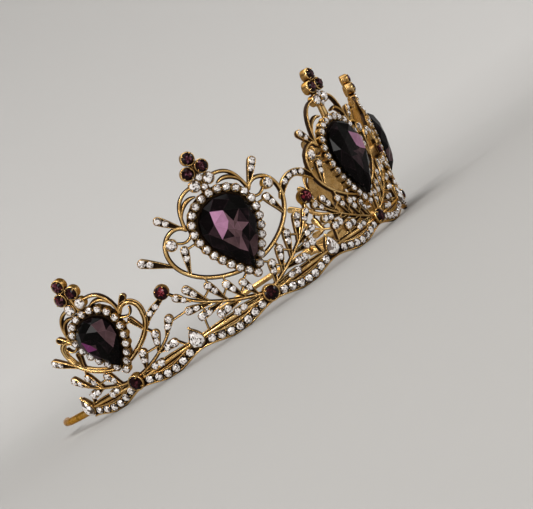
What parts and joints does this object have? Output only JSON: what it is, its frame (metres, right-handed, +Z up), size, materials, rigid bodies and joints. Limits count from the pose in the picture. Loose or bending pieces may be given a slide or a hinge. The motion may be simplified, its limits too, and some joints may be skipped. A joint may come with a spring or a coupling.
{
  "type": "tiara",
  "caption": "Antique gold openwork tiara: pear stones in halos of small clear stones, fern scrolls between them, dark crest stones on top and a plain wire round each side.",
  "frame": {"origin": "middle of the whole outline, in the surface that the tiara stands on", "axes": "+Z up, -Y out of the front of the tiara, +X to the right as a viewer in front sees it"},
  "size_m": [0.154, 0.1304, 0.0549],
  "materials": {
    "antique_gold": "antique gold plate, bright on raised edges and dark in the recesses",
    "purple_stone": "faceted dark purple glass, foiled behind",
    "dark_red_stone": "faceted dark red glass, foiled behind",
    "clear_stone": "faceted clear glass, foiled behind"
  },
  "bodies": {
    "root": {"frame": "antique_gold", "gem_far_left": "purple_stone", "gem_left": "purple_stone", "gem_centre": "purple_stone", "gem_right": "purple_stone", "gem_far_right": "purple_stone", "base_stone_far_left": "purple_stone", "base_stone_left": "purple_stone", "base_stone_centre": "purple_stone", "base_stone_right": "purple_stone", "base_stone_far_right": "purple_stone", "crest_far_left_1": "purple_stone", "crest_far_left_2": "purple_stone", "crest_far_left_3": "purple_stone", "crest_left_1": "purple_stone", "crest_left_2": "purple_stone", "crest_left_3": "purple_stone", "crest_centre_1": "purple_stone", "crest_centre_2": "purple_stone", "crest_centre_3": "purple_stone", "crest_right_1": "purple_stone", "crest_right_2": "purple_stone", "crest_right_3": "purple_stone", "crest_far_right_1": "purple_stone", "crest_far_right_2": "purple_stone", "crest_far_right_3": "purple_stone", "link_stone_1": "dark_red_stone", "link_stone_2": "dark_red_stone", "link_stone_3": "dark_red_stone", "link_stone_4": "dark_red_stone", "cusp_stone_1": "clear_stone", "cusp_stone_2": "clear_stone", "cusp_stone_3": "clear_stone", "cusp_stone_4": "clear_stone", "cusp_stone_5": "clear_stone", "cusp_stone_6": "clear_stone", "halo_far_left": "clear_stone", "halo_left": "clear_stone", "halo_centre": "clear_stone", "halo_right": "clear_stone", "halo_far_right": "clear_stone", "rail_stones_left": "clear_stone", "rail_stones_right": "clear_stone"}
  },
  "joints": []
}
